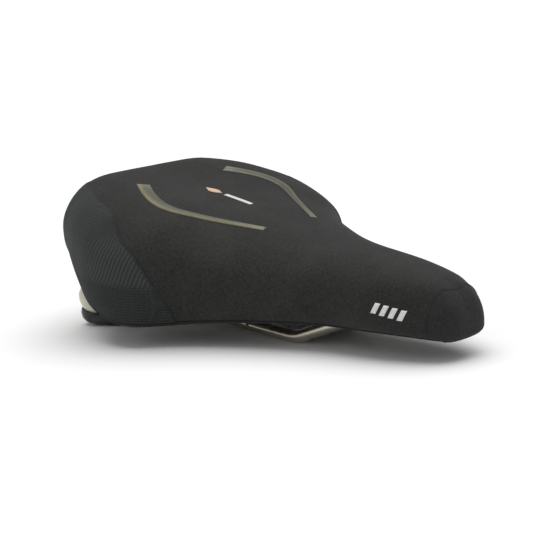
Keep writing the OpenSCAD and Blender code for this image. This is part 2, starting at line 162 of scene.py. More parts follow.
def shrink(x, y, g):
    c = min(max(x, SPINE_REAR), SPINE_NOSE)
    return c + (x - c) * g, y * g


def skin(u, w, d):
    """A point of the padded outside, moved in by d. w: 0 bottom edge, 1 widest, 2 spine."""
    side = -1 if u > 1 else 1
    x, y, in_x, in_y, waist, rim, tuck, crown = station(2 - u if u > 1 else u)
    s = min(max(1 - w, 0), 1)
    g = max(math.cos((w - 1) * math.pi / 2), 0.0) if w > 1 else 1.0
    into = d + tuck * (1 - math.sqrt(1 - s * s))
    x, y = shrink(x + in_x * into, y + in_y * into, g)
    if w < 1:
        z = waist + (rim - waist) * s
    else:
        z = waist + (top_at(x) - d - waist) * dome(g) + crown * 4 * g**2 * (1 - g**2)
    return np.array([x, side * y, z])


def under(u, w, d, drop):
    """A point of the shell's outside, in by d and down by drop. w: 0 bottom edge, 1 spine."""
    side = -1 if u > 1 else 1
    x, y, in_x, in_y, _, rim, tuck, _ = station(2 - u if u > 1 else u)
    g = max(math.cos(w * math.pi / 2), 0.0)
    x, y = shrink(x + in_x * (d + tuck), y + in_y * (d + tuck), g)
    low = rim + RIM_LIFT
    return np.array([x, side * y, low + (top_at(x) - pad_at(x) - drop - low) * dome(g)])


# ---------------------------------------------------------------- mesh helpers
def new_object(name, verts, faces, smooth=True):
    mesh = bpy.data.meshes.new(name)
    mesh.from_pydata([Vector(v) * MM for v in verts], [], faces)
    mesh.update()
    obj = bpy.data.objects.new(name, mesh)
    bpy.context.scene.collection.objects.link(obj)
    if smooth:
        mesh.shade_smooth()
    return obj


def clean(obj, merge=1e-6):
    """Merges points that coincide, unless merge is 0, and turns every face outwards."""
    bm = bmesh.new()
    bm.from_mesh(obj.data)
    if merge:
        bmesh.ops.remove_doubles(bm, verts=bm.verts, dist=merge)
        bmesh.ops.dissolve_degenerate(bm, edges=bm.edges, dist=merge)
    bmesh.ops.recalc_face_normals(bm, faces=bm.faces)
    bm.to_mesh(obj.data)
    bm.free()
    obj.data.shade_smooth()
    return obj


def loft(name, rings, cap=False):
    """Surface through closed rings of points."""
    n = len(rings[0])
    verts = [p for r in rings for p in r]
    faces = [
        (k * n + i, k * n + (i + 1) % n, (k + 1) * n + (i + 1) % n, (k + 1) * n + i)
        for k in range(len(rings) - 1)
        for i in range(n)
    ]
    if cap:
        faces.append(tuple(range(n)))
        faces.append(tuple(range(len(verts) - n, len(verts))))
    return clean(new_object(name, verts, faces))


def sheet(name, front, back, uv=None):
    """Closed sheet between two grids. uv gives each grid point's place on the sheet."""
    m, n = len(front), len(front[0])
    o = m * n
    verts = [p for r in front for p in r] + [p for r in back for p in r]
    faces = []
    for r in range(m - 1):
        for c in range(n - 1):
            q = (r * n + c, r * n + c + 1, (r + 1) * n + c + 1, (r + 1) * n + c)
            faces += [q, tuple(v + o for v in reversed(q))]
    edge = (
        list(range(n)) + [r * n + n - 1 for r in range(1, m)]
        + [(m - 1) * n + c for c in range(n - 2, -1, -1)] + [r * n for r in range(m - 2, 0, -1)]
    )
    for i, a in enumerate(edge):
        b = edge[(i + 1) % len(edge)]
        faces.append((b, a, a + o, b + o))
    obj = new_object(name, verts, faces)
    if uv is not None:
        flat = [p for r in uv for p in r] * 2
        layer = obj.data.uv_layers.new(name="Sheet")
        for loop in obj.data.loops:
            layer.data[loop.index].uv = flat[loop.vertex_index]
    return clean(obj, 0)


def spaced(path, least):
    """The path without points that almost repeat the one before."""
    return [
        p for i, p in enumerate(path) if i == 0 or np.linalg.norm(p - path[i - 1]) > least
    ]


def tube(name, path, radius, sides=16, closed=False):
    """Round tube along a path of points, with flat ends."""
    pts = [np.asarray(p, float) for p in path]
    n = len(pts)
    tangents = []
    for i in range(n):
        a = pts[(i - 1) % n] if closed else pts[max(i - 1, 0)]
        b = pts[(i + 1) % n] if closed else pts[min(i + 1, n - 1)]
        tangents.append((b - a) / np.linalg.norm(b - a))
    ref = np.cross(tangents[0], [0, 0, 1.0])
    if np.linalg.norm(ref) < 0.1:
        ref = np.cross(tangents[0], [0, 1.0, 0])
    ref = ref / np.linalg.norm(ref)
    rings = []
    for p, t in zip(pts, tangents):
        ref = ref - t * np.dot(ref, t)
        ref = ref / np.linalg.norm(ref)
        other = np.cross(t, ref)
        rings.append([
            p + radius * (ref * math.cos(a) + other * math.sin(a))
            for a in (2 * math.pi * k / sides for k in range(sides))
        ])
    if closed:
        rings.append(rings[0])
    return loft(name, rings, cap=not closed)


def turned(name, profile, base, axis, sides=48):
    """Solid of revolution: profile is [radius, height] along axis from base."""
    z = np.asarray(axis, float)
    z = z / np.linalg.norm(z)
    x = np.cross([0, 1, 0] if abs(z[2]) > 0.9 else [0, 0, 1], z)
    x = x / np.linalg.norm(x)
    y = np.cross(z, x)
    rings = [
        [
            np.asarray(base) + z * h + r * (x * math.cos(a) + y * math.sin(a))
            for a in (2 * math.pi * k / sides for k in range(sides))
        ]
        for r, h in profile
    ]
    return loft(name, rings, cap=True)


def bevelled(name, node, width, segments=3):
    """A CAD node's shape with its edges rounded, as a moulding or machined piece has them."""
    mesh = NODES[node].data.copy()
    obj = bpy.data.objects.new(name, mesh)
    bpy.context.scene.collection.objects.link(obj)
    bm = bmesh.new()
    bm.from_mesh(mesh)
    bmesh.ops.remove_doubles(bm, verts=bm.verts, dist=1e-6)
    bmesh.ops.dissolve_limit(
        bm, angle_limit=math.radians(1), verts=bm.verts, edges=bm.edges
    )
    bm.to_mesh(mesh)
    bm.free()
    mod = obj.modifiers.new("round", "BEVEL")
    mod.width = width * MM
    mod.segments = segments
    mod.limit_method = "ANGLE"
    mod.angle_limit = math.radians(32)
    mod.use_clamp_overlap = True
    mod.harden_normals = True
    apply_modifiers(obj)
    obj.data.shade_smooth()
    obj.data.materials.clear()
    return obj


def apply_modifiers(obj):
    graph = bpy.context.evaluated_depsgraph_get()
    mesh = bpy.data.meshes.new_from_object(obj.evaluated_get(graph))
    obj.modifiers.clear()
    obj.data = mesh


def finish_piece(obj, body, slot, material, *nodes):
    obj.data.materials.clear()
    obj.data.materials.append(material)
    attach(obj, body)
    if nodes:
        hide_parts(*nodes)
    return obj


# ---------------------------------------------------------------- materials
class Maker:
    """Short way to write a node material."""

    def __init__(self, name, color, rough, metallic=0.0):
        self.mat = bpy.data.materials.new(name)
        self.mat.use_nodes = True
        self.tree = self.mat.node_tree
        self.shader = self.tree.nodes["Principled BSDF"]
        self.shader.inputs["Base Color"].default_value = (*color, 1)
        self.shader.inputs["Roughness"].default_value = rough
        self.shader.inputs["Metallic"].default_value = metallic
        self.coord = self.tree.nodes.new("ShaderNodeTexCoord")

    def node(self, kind, **inputs):
        n = self.tree.nodes.new(kind)
        for k, v in inputs.items():
            self.put(n.inputs[k.replace("_", " ")], v)
        return n

    def put(self, socket, value):
        if isinstance(value, bpy.types.NodeSocket):
            self.tree.links.new(value, socket)
        else:
            socket.default_value = value

    def math(self, op, a, b=0.0, clamp=False):
        n = self.tree.nodes.new("ShaderNodeMath")
        n.operation = op
        n.use_clamp = clamp
        self.put(n.inputs[0], a)
        self.put(n.inputs[1], b)
        return n.outputs[0]

    def noise(self, scale, detail=3.0, rough=0.55, vector=None):
        n = self.node("ShaderNodeTexNoise", Scale=scale, Detail=detail, Roughness=rough)
        self.tree.links.new(vector or self.coord.outputs["Object"], n.inputs["Vector"])
        return n.outputs["Fac"]

    def ramp(self, fac, stops):
        n = self.tree.nodes.new("ShaderNodeValToRGB")
        e = n.color_ramp.elements
        while len(e) < len(stops):
            e.new(0.5)
        for item, (pos, col) in zip(e, stops):
            item.position = pos
            item.color = (*col, 1) if len(col) == 3 else col
        self.tree.links.new(fac, n.inputs["Fac"])
        return n.outputs["Color"]

    def mix(self, fac, a, b):
        n = self.tree.nodes.new("ShaderNodeMix")
        n.data_type = "RGBA"
        self.put(n.inputs[0], fac)
        self.put(n.inputs[6], a if isinstance(a, bpy.types.NodeSocket) else (*a, 1))
        self.put(n.inputs[7], b if isinstance(b, bpy.types.NodeSocket) else (*b, 1))
        return n.outputs[2]

    def bump(self, height, distance, strength=1.0):
        n = self.node("ShaderNodeBump", Height=height, Distance=distance, Strength=strength)
        self.tree.links.new(n.outputs[0], self.shader.inputs["Normal"])

    def to(self, socket, value):
        self.put(self.shader.inputs[socket], value)

    def weave(self, pitch):
        """Height of a plain weave, laid along the two axes across the way the surface faces."""
        axes = self.tree.nodes.new("ShaderNodeSeparateXYZ")
        self.tree.links.new(self.coord.outputs["Object"], axes.inputs[0])
        facing = self.tree.nodes.new("ShaderNodeSeparateXYZ")
        geometry = self.tree.nodes.new("ShaderNodeNewGeometry")
        self.tree.links.new(geometry.outputs["Normal"], facing.inputs[0])
        k = 2 * math.pi / (pitch * MM)
        s = [self.math("SINE", self.math("MULTIPLY", axes.outputs[i], k)) for i in range(3)]
        w = [self.math("POWER", self.math("ABSOLUTE", facing.outputs[i]), 4) for i in range(3)]
        total = self.math("ADD", self.math("ADD", w[0], w[1]), w[2])
        parts = [
            self.math("MULTIPLY", w[i], self.math("MULTIPLY", s[(i + 1) % 3], s[(i + 2) % 3]))
            for i in range(3)
        ]
        up = self.math("ADD", self.math("ADD", parts[0], parts[1]), parts[2])
        return self.math("DIVIDE", up, total)


def fabric(name, dark, light, pitch, rough, sheen, depth=0.00006, raised_highlight=None):
    """Close woven fabric: threads, fibres and slightly uneven dye.

    The last argument gives the colour of a painted highlight on the tops of an embossed pattern,
    where they catch light.
    """
    m = Maker(name, dark, rough)
    thread = m.weave(pitch)
    fine, coarse = m.noise(1900, 3, 0.75), m.noise(620, 2, 0.6)
    fibre = m.math("ADD", m.math("MULTIPLY", fine, 0.6), m.math("MULTIPLY", coarse, 0.4))
    dye = m.noise(34, 4, 0.6)
    tone = m.math("ADD", m.math("MULTIPLY", thread, 0.05), m.math("MULTIPLY", fibre, 0.9))
    tone = m.math("ADD", tone, m.math("MULTIPLY", m.math("SUBTRACT", dye, 0.5), 0.3), clamp=True)
    color = m.ramp(tone, [(0.3, dark), (0.7, light)])
    # Raised parts of the pattern are painted lighter: a painted highlight where the relief
    # catches light.
    if raised_highlight:
        mark = m.tree.nodes.new("ShaderNodeAttribute")
        mark.attribute_name = "raised_highlight"
        color = m.mix(mark.outputs["Fac"], color, raised_highlight)
    m.to("Base Color", color)
    m.to("Roughness", m.math("ADD", m.math("MULTIPLY", fibre, 0.16), rough - 0.08))
    m.shader.inputs["Sheen Weight"].default_value = sheen
    m.shader.inputs["Sheen Roughness"].default_value = 0.5
    m.shader.inputs["Specular IOR Level"].default_value = 0.16
    m.bump(m.math("ADD", thread, m.math("MULTIPLY", fibre, 1.2)), depth)
    return m.mat


def plastic(name, dark, light, rough, grain=1500, depth=0.00004, level=0.5):
    """Moulded plastic with a fine spark-eroded grain and faint flow marks."""
    m = Maker(name, dark, rough)
    fine = m.noise(grain, 3, 0.6)
    flow = m.noise(26, 3, 0.5)
    m.to("Base Color", m.ramp(flow, [(0.3, dark), (0.75, light)]))
    m.to("Roughness", m.math("ADD", m.math("MULTIPLY", flow, 0.18), rough - 0.09))
    m.shader.inputs["Specular IOR Level"].default_value = level
    m.bump(fine, depth)
    return m.mat


def metal(name, dark, light, rough, brushed, strength=0.6):
    """Satin metal with drawn scratches and a slightly uneven tone."""
    m = Maker(name, dark, rough, 1.0)
    stretch = m.tree.nodes.new("ShaderNodeMapping")
    stretch.inputs["Scale"].default_value = brushed
    m.tree.links.new(m.coord.outputs["Object"], stretch.inputs["Vector"])
    lines = m.noise(1.0, 5, 0.65, stretch.outputs[0])
    cloud = m.noise(60, 3)
    m.to("Base Color", m.ramp(cloud, [(0.25, dark), (0.8, light)]))
    m.to("Roughness", m.math("ADD", m.math("MULTIPLY", lines, 0.16), rough - 0.08))
    m.bump(lines, 0.00002, strength)
    return m.mat


COVER = fabric("cover_weave", (0.013, 0.013, 0.0125), (0.047, 0.0465, 0.045), 0.8, 0.8, 0.03)
# The panel's last colour is a painted highlight on the raised parts of its embossed pattern.
PANEL = fabric(
    "panel_emboss", (0.0115, 0.0132, 0.0137), (0.034, 0.0375, 0.038), 0.7, 0.7, 0.02, 0.00006,
    (0.072, 0.078, 0.078),
)
SEAM = fabric("seam_weave", (0.02, 0.0225, 0.0225), (0.05, 0.0545, 0.0545), 0.7, 0.75, 0.02)
NOSE = fabric("nose_mesh", (0.012, 0.0135, 0.0128), (0.04, 0.042, 0.04), 1.1, 0.74, 0.03, 0.00012)
# Darker weave for the band round the bottom edge: painted shade where the cover turns under.
EDGE_SHADE = fabric("edge_shade_weave", (0.009, 0.009, 0.009), (0.021, 0.021, 0.021), 1.1, 0.8, 0.02)
BLACK = plastic("moulded_black", (0.012, 0.012, 0.0125), (0.021, 0.021, 0.022), 0.42)
SHELL = plastic("shell_black", (0.013, 0.013, 0.014), (0.026, 0.026, 0.027), 0.55, 700, 0.00012)
RAIL = metal("rail_satin", (0.45, 0.42, 0.34), (0.6, 0.565, 0.48), 0.24, (60, 2600, 2600), 0.12)
STEEL = metal("screw_steel", (0.42, 0.42, 0.42), (0.6, 0.6, 0.6), 0.3, (900, 900, 900))


def elastomer_material():
    m = Maker("elastomer_cream", (0.62, 0.63, 0.49), 0.36)
    cloud = m.noise(90, 4, 0.6)
    m.to("Base Color", m.ramp(cloud, [(0.25, (0.56, 0.57, 0.43)), (0.8, (0.72, 0.73, 0.6))]))
    m.shader.inputs["Subsurface Weight"].default_value = 0.35
    m.shader.inputs["Subsurface Radius"].default_value = (0.004, 0.004, 0.002)
    m.shader.inputs["Subsurface Scale"].default_value = 1.0
    m.to("Roughness", m.math("ADD", m.math("MULTIPLY", cloud, 0.15), 0.3))
    m.bump(m.noise(700, 3), 0.00003)
    return m.mat


def foam_material():
    m = Maker("foam_cells", (0.5, 0.44, 0.26), 0.9)
    cells = m.node("ShaderNodeTexVoronoi", Scale=900.0)
    m.tree.links.new(m.coord.outputs["Object"], cells.inputs["Vector"])
    tones = [(0.1, (0.34, 0.29, 0.16)), (0.6, (0.6, 0.53, 0.33))]
    m.to("Base Color", m.ramp(cells.outputs[0], tones))
    m.bump(cells.outputs[0], 0.0004)
    return m.mat


def gel_material(name):
    """Clear gel over a dark ground: grey within, olive where it is thick at the outer edge."""
    m = Maker(name, (0.2, 0.2, 0.15), 0.3)
    uv = m.tree.nodes.new("ShaderNodeSeparateXYZ")
    m.tree.links.new(m.coord.outputs["UV"], uv.inputs[0])
    across, length = uv.outputs[1], uv.outputs[0]
    cloud = m.noise(120, 4, 0.6)
    streak = m.math("ADD", across, m.math("MULTIPLY", m.math("SUBTRACT", cloud, 0.5), 0.5))
    body = m.ramp(streak, [
        (0.0, (0.09, 0.09, 0.07)), (0.25, (0.035, 0.035, 0.024)), (0.55, (0.05, 0.046, 0.022)),
        (0.8, (0.17, 0.145, 0.045)), (1.0, (0.22, 0.195, 0.08)),
    ])
    ends = m.ramp(length, [
        (0.0, (0.3, 0.3, 0.28)), (0.1, (0.12, 0.11, 0.06)), (0.5, (0.04, 0.04, 0.027)),
        (0.8, (0.08, 0.078, 0.045)), (1.0, (0.24, 0.24, 0.19)),
    ])
    m.to("Base Color", m.mix(0.45, body, ends))
    m.shader.inputs["Coat Weight"].default_value = 0.1
    m.shader.inputs["Coat Roughness"].default_value = 0.25
    m.shader.inputs["Specular IOR Level"].default_value = 0.25
    m.to("Roughness", m.math("ADD", m.math("MULTIPLY", cloud, 0.25), 0.22))
    m.bump(m.noise(500, 3), 0.00005)
    return m.mat


def print_material(name, a, b):
    """Printed ink on fabric, thin enough that the weave shows a little."""
    m = Maker(name, a, 0.5)
    spots = m.noise(1400, 3, 0.6)
    m.to("Base Color", m.ramp(spots, [(0.35, a), (0.6, b)]))
    m.to("Roughness", m.math("ADD", m.math("MULTIPLY", spots, 0.2), 0.4))
    m.bump(m.weave(0.95), 0.00006)
    return m.mat


ELASTOMER = elastomer_material()
FOAM = foam_material()
GEL = gel_material("gel_clear")
MARK_PEACH = print_material("print_peach", (0.62, 0.36, 0.22), (0.72, 0.5, 0.36))
MARK_WHITE = print_material("print_white", (0.62, 0.62, 0.61), (0.78, 0.78, 0.77))
MARK_BLACK = print_material("print_black", (0.008, 0.008, 0.008), (0.014, 0.014, 0.014))

# ---------------------------------------------------------------- seat cover, foam and gel
AROUND = 400


def skin_ring(w, d, n=AROUND, dz=0.0):
    return [skin(2 * i / n, w, d) + (0, 0, dz) for i in range(n)]


def under_ring(w, d, drop, n=AROUND, dz=0.0):
    return [under(2 * i / n, w, d, drop) + (0, 0, dz) for i in range(n)]


def cover_rings():
    """Down the outside, round the bottom edge, up the hem and back under the fabric."""
    rings = [skin_ring(1 + t, OUTER) for t in np.linspace(1, 0, 44)]
    rings += [skin_ring(w, OUTER) for w in np.linspace(0.94, 0.06, 12)]
    outer, hem = skin_ring(0, OUTER), under_ring(0, HEM_IN, 0, dz=-RIM_LIFT)
    for t in np.linspace(0, 1, 9):
        drop = HEM_ROLL * math.sin(math.pi * t) ** 0.8
        ease = 0.5 - 0.5 * math.cos(math.pi * t)
        rings.append([a * (1 - ease) + b * ease - (0, 0, drop) for a, b in zip(outer, hem)])
    drop = 2 * GAP + SHELL_T + COVER_T
    for t in np.linspace(0.15, 1, 6):
        pleat = []
        for i, p in enumerate(under_ring(HEM_W * t, HEM_IN, drop * t)):
            inwards = np.array([-p[0], -p[1], 0.0])
            inwards = inwards / np.linalg.norm(inwards)
            wave = 0.5 + 0.5 * math.sin(i * 1.05 + 1.7 * math.sin(i * 0.13))
            pleat.append(p + inwards * (0.9 * wave * t) - (0, 0, (1 - t) * RIM_LIFT))
        rings.append(pleat)
    rings.append(under_ring(HEM_W, HEM_OUT, 2 * GAP + SHELL_T))
    rings.append(under_ring(0, HEM_OUT, 0, dz=-GAP))
    rings.append(skin_ring(0, OUTER + COVER_T, dz=COVER_T))
    rings += [skin_ring(w, OUTER + COVER_T) for w in (0.3, 0.65, 1.0)]
    rings += [skin_ring(1 + t, OUTER + COVER_T) for t in np.linspace(0.12, 1, 9)]
    return rings


cover = loft("seat_cover", cover_rings())
finish_piece(cover, "seat", "cover", COVER, "cover")

# The gel lies in a pocket of the pad, between these places round and up the seat
GEL_U, GEL_W, GEL_DEPTH = (0.333, 0.625), (1.542, 1.758), 4.0


def window(t, low, high, soft):
    """0 outside a span, 1 inside it, with soft ends."""
    return smooth(low, low + soft, t) * smooth(high, high - soft, t)


def pocket(u, w):
    h = 2 - u if u > 1 else u
    return window(h, *GEL_U, 0.03) * window(w, *GEL_W, 0.04)


FOAM_AROUND = 200


def foam_ring(w):
    us = [2 * i / FOAM_AROUND for i in range(FOAM_AROUND)]
    return [skin(u, w, FOAM_OUT + (GEL_DEPTH + GAP) * pocket(u, w)) for u in us]


foam_rings = [foam_ring(w) for w in [1 + t for t in np.linspace(1, 0, 36)] + [0.7, 0.35]]
foam_rings += [skin_ring(0, FOAM_OUT, FOAM_AROUND, RIM_LIFT)]
foam_rings += [under_ring(t, FOAM_IN, 0, FOAM_AROUND) for t in np.linspace(0, 1, 18)]
foam = loft("foam_core", foam_rings)
finish_piece(foam, "seat", "foam", FOAM, "foam_pad")

for side, flip in SIDES:
    us, ws = np.linspace(*GEL_U, 30), np.linspace(*GEL_W, 12)
    turn = (1, flip, 1)
    front = [[skin(u, w, FOAM_OUT) * turn for u in us] for w in ws]
    back = [
        [skin(u, w, FOAM_OUT + 0.05 + (GEL_DEPTH - 0.1) * pocket(u, w)) * turn for u in us]
        for w in ws
    ]
    uv = [[(c / 29, r / 11) for c in range(30)] for r in range(12)]
    gel = sheet(f"gel_insert_{side}", front, back, uv)
    finish_piece(gel, "seat", "gel", GEL, f"{side}_gel_pad")

# ------------------------------------------------------------ rear panels, nose panel and seams
# Front edge of a rear panel, seen from the side: [z, x]
PANEL_EDGE = [
    (0, -10), (12, -11.5), (20, -15), (27, -18), (36, -23), (43.5, -29), (47, -35),
    (52.5, -44), (58.5, -53), (64, -64), (69, -81), (69.5, -92), (70.5, -104), (75, -125),
]
# Ends of the panel: up the seat (w) and, at the rear, round it (u). Then its thickness
PANEL_LOW, PANEL_TOP, PANEL_REAR, PANEL_BACK = 0.012, 1.43, 0.042, 0.32
# Sizes of the raised pattern: the mesh, the rows and lengths of the dashes, and the dots
MESH_PITCH, RIB_PITCH, DASH, DOT_PITCH = 2.7, 1.35, 2.6, 0.85
RAISED_BY, EDGE_SINK = 0.26, 0.25


def edge_x(z):
    return float(np.interp(z, [a for a, _ in PANEL_EDGE], [b for _, b in PANEL_EDGE]))


def seam_u(w):
    """Where the panel's front edge crosses the ring at w."""
    def behind(u):
        p = skin(u, w, 0)
        return p[0] < edge_x(p[2])

    return crossing(0.06, 0.625, 26, behind)[0]


def emboss(s, t, x, z):
    """Height of the raised pattern, from 0 to 1, at s mm along and t mm up the panel."""
    a, b = (s + t) * math.pi / MESH_PITCH, (s - t) * math.pi / MESH_PITCH
    holes = min(1.0, (abs(math.cos(a)) * abs(math.cos(b))) ** 0.7 * 1.35)
    k = math.floor(t / RIB_PITCH)
    dash = abs(math.cos((s + DASH / 2 * (k % 2)) * math.pi / DASH)) ** 0.6
    ribs = dash * math.sin((t / RIB_PITCH - k) * math.pi) ** 0.8
    front = smooth(-66, -50, x)
    low = smooth(30, 24, z)
    across, up = math.cos(s * math.pi / DOT_PITCH), math.cos(t * math.pi / DOT_PITCH)
    dots = max(0.0, across) * max(0.0, up)
    mesh = (1 - holes) * smooth(60, 46, z)
    return (ribs * (1 - front) * 0.45 + mesh * front) * (1 - low) + dots * low * 0.6


def panel_surface():
    """Front and back grids of the left panel, and how far each point is raised."""
    rows, cols = 230, 260
    ws = [PANEL_LOW + (PANEL_TOP - PANEL_LOW) * r / rows for r in range(rows + 1)]
    grid = []
    for w in ws:
        reach = seam_u(w) - PANEL_REAR
        grid.append([skin(PANEL_REAR + reach * c / cols, w, 0) for c in range(cols + 1)])
    grid = np.array(grid)
    across = np.linalg.norm(np.diff(grid, axis=1), axis=2)
    up = np.linalg.norm(np.diff(grid, axis=0), axis=2)
    # distances are measured back from the front edge and up from the bottom edge
    s = np.pad(np.cumsum(across[:, ::-1], axis=1), ((0, 0), (1, 0)))[:, ::-1]
    t = np.pad(np.cumsum(up, axis=0), ((1, 0), (0, 0)))
    du = np.gradient(grid, axis=1)
    dw = np.gradient(grid, axis=0)
    normal = np.cross(du, dw)
    normal /= np.linalg.norm(normal, axis=2, keepdims=True)
    if normal[rows // 2, cols // 2, 1] < 0:
        normal = -normal
    raised_highlight = np.zeros((rows + 1, cols + 1))
    rim = np.zeros((rows + 1, cols + 1))
    for r in range(rows + 1):
        for c in range(cols + 1):
            near = min(s[r, c], t[r, c], (ws[-1] - ws[r]) * 60, c * 0.5) / 1.2
            rim[r, c] = min(max(near, 0), 1)
            raised_highlight[r, c] = rim[r, c] * emboss(s[r, c], t[r, c], grid[r, c, 0], grid[r, c, 2])
    height = -EDGE_SINK * (1 - rim) + RAISED_BY * raised_highlight
    front = grid + normal * height[:, :, None]
    back = grid - normal * PANEL_BACK
    edge = grid[::3, cols] - normal[::3, cols] * 0.18
    return front, back, edge, raised_highlight


def rear_panel(side, flip, surface):
    front, back, edge, raised_highlight = surface
    turn = np.array([1, flip, 1])
    panel = sheet(f"rear_panel_{side}", front * turn, back * turn)
    # How far each point is raised also masks the painted highlight in the panel's material.
    mark = panel.data.attributes.new("raised_highlight", "FLOAT", "POINT")
    mark.data.foreach_set("value", np.concatenate([raised_highlight.ravel(), np.zeros(raised_highlight.size)]))
    finish_piece(panel, "seat", "panel", PANEL, f"{side}_rear_panel")
    seam = tube(f"panel_seam_{side}", edge * turn, 0.3, 10)
    finish_piece(seam, "seat", "panel", SEAM)


PANEL_SURFACE = panel_surface()
rear_panel("left", 1, PANEL_SURFACE)
rear_panel("right", -1, PANEL_SURFACE)

NOSE_X, NOSE_CURVE, NOSE_MID_Z = 132.0, 0.0016, 30


def nose_u(w):
    """Where the nose panel's edge, a little curved, crosses the ring at w."""
    def behind(u):
        p = skin(u, w, 0)
        return p[0] < NOSE_X + NOSE_CURVE * (p[2] - NOSE_MID_Z) ** 2

    return crossing(0.85, 1.0, 24, behind)[1]


def nose_panel():
    rows, cols = 110, 90
    ws = [PANEL_LOW + 1.62 * r / rows for r in range(rows + 1)]
    ws = [w for w in ws if skin(1, w, 0)[0] > NOSE_X + 0.6]
    rows = len(ws) - 1
    front, back, starts = [], [], []
    for w in ws:
        a = nose_u(w)
        line = [skin(a + (2 - 2 * a) * c / cols, w, -0.02) for c in range(cols + 1)]
        starts.append((line[0], line[-1]))
        front.append(line)
        back.append([skin(a + (2 - 2 * a) * c / cols, w, PANEL_BACK) for c in range(cols + 1)])
    panel = sheet("nose_panel_mesh", front, back)
    finish_piece(panel, "seat", "nose_panel", NOSE, "nose_panel")
    path = [a for a, _ in starts] + front[-1][4:-4:4] + [b for _, b in reversed(starts)]
    seam = tube("nose_seam", spaced(path, 0.05)[::2], 0.3, 8)
    finish_piece(seam, "seat", "nose_panel", NOSE)


nose_panel()

# Darker band that runs round the bottom edge: painted shade where the cover turns under, out of
# the light
shade_band_path = [skin(2 * i / 300, 0.035, OUTER - 0.1) for i in range(300)]
shade_band = tube("edge_shade_band", shade_band_path, 0.55, 8, closed=True)
finish_piece(shade_band, "seat", "cover", EDGE_SHADE)

# ---------------------------------------------------------------- gel windows and printed marks
WINDOW_LINE = [(-77, 31), (-62, 39.5), (-49, 44), (-37, 43), (-22, 36), (-4, 27), (12, 19)]
WINDOW_HALF = [(-77, 4.2), (-50, 4), (-20, 2.6), (12, 2)]


def top_place(u, y):
    """The point of the padded top on station u that lies y from the centreline."""
    return skin(u, crossing(1.0, 2.0, 18, lambda w: skin(u, w, 0)[1] > y)[0], 0)


def top_z(x, y):
    """Height of the padded top over a place in plan."""
    u = crossing(0.04, 0.97, 13, lambda u: top_place(u, y)[0] < x)[0]
    return float(top_place(u, y)[2])


def strip(name, place, along_n, across_n, lift, thick):
    """Thin pillowed piece that lies on the top.

    place(a, b) gives its plan point, for a and b from 0 to 1.
    """
    front, back, uv = [], [], []
    for r in range(across_n + 1):
        b = r / across_n
        f_line, b_line, t_line = [], [], []
        for c in range(along_n + 1):
            a = c / along_n
            x, y = place(a, b)
            z = top_z(x, abs(y))
            rim = min(min(b, 1 - b) * across_n / 1.6, min(a, 1 - a) * along_n / 1.2, 1)
            rise = lift * math.sin(rim * math.pi / 2) - 0.2 * (1 - rim)
            f_line.append(np.array([x, y, z + rise]))
            b_line.append(np.array([x, y, z - thick]))
            t_line.append((a, b))
        front.append(f_line)
        back.append(b_line)
        uv.append(t_line)
    return sheet(name, front, back, uv)


def window_place(flip):
    def place(a, b):
        x = -76 + 88 * a
        slope = (float(along(WINDOW_LINE, x + 1)) - float(along(WINDOW_LINE, x - 1))) / 2
        n = np.array([-slope, 1]) / math.hypot(slope, 1)
        half = float(along(WINDOW_HALF, x)) * math.cos(math.atan(slope)) ** 0.5
        y = float(along(WINDOW_LINE, x))
        q = np.array([x, y]) + n * half * (2 * b - 1)
        return q[0], q[1] * flip
    return place


for side, flip in SIDES:
    pane = strip(f"gel_window_{side}", window_place(flip), 60, 10, 0.28, 0.3)
    finish_piece(pane, "seat", "window", GEL, f"{side}_gel_window")


def plain_mark(name, outline, material, slot, nodes=()):
    """Flat printed shape on the top, from its plan outline as a function of a and b."""
    mark = strip(name, outline, 24, 8, 0.12, 0.3)
    finish_piece(mark, "seat", slot, material, *nodes)


def lozenge(a, b):
    """A rounded lozenge, drawn out to both ends."""
    return -57.5 + 14.0 * a, (2 * b - 1) * (0.1 + 2.9 * math.sin(math.pi * a) ** 1.3)


plain_mark("top_mark_lozenge", lozenge, MARK_PEACH, "badge", ["top_badge"])
plain_mark("top_mark_bar", lambda a, b: (-41 + 22 * a, 3.0 * (b - 0.5)), MARK_WHITE, "badge")


def side_u_w(x, z):
    """Place round and up the seat whose side point has this x and z."""
    u, w = 0.8, 0.5
    for _ in range(14):
        p = skin(u, w, 0)
        pu, pw = skin(u + 0.002, w, 0), skin(u, w + 0.002, 0)
        j = np.array([[pu[0] - p[0], pw[0] - p[0]], [pu[2] - p[2], pw[2] - p[2]]]) / 0.002
        step = np.linalg.solve(j, [x - p[0], z - p[2]])
        u, w = u + float(np.clip(step[0], -0.05, 0.05)), w + float(np.clip(step[1], -0.2, 0.2))
        w = min(max(w, 0.02), 1.6)
    return u, w


def side_mark(name, corners, flip, nodes=()):
    """Printed shape on the flank: corners give x and z from the bottom edge to the top edge."""
    (x0, z0), (x1, z1), (x2, z2), (x3, z3) = corners
    front, back = [], []
    for r in range(7):
        b = r / 6
        f_line, b_line = [], []
        for c in range(5):
            a = c / 4
            x = (x0 + (x1 - x0) * a) * (1 - b) + (x3 + (x2 - x3) * a) * b
            z = (z0 + (z1 - z0) * a) * (1 - b) + (z3 + (z2 - z3) * a) * b
            u, w = side_u_w(x, z)
            inner = 0 < r < 6 and 0 < c < 4
            f_line.append(skin(u, w, -0.08 if inner else 0.1) * (1, flip, 1))
            b_line.append(skin(u, w, 0.3) * (1, flip, 1))
        front.append(f_line)
        back.append(b_line)
    mark = sheet(name, front, back)
    finish_piece(mark, "seat", "side_badge", MARK_WHITE, *nodes)


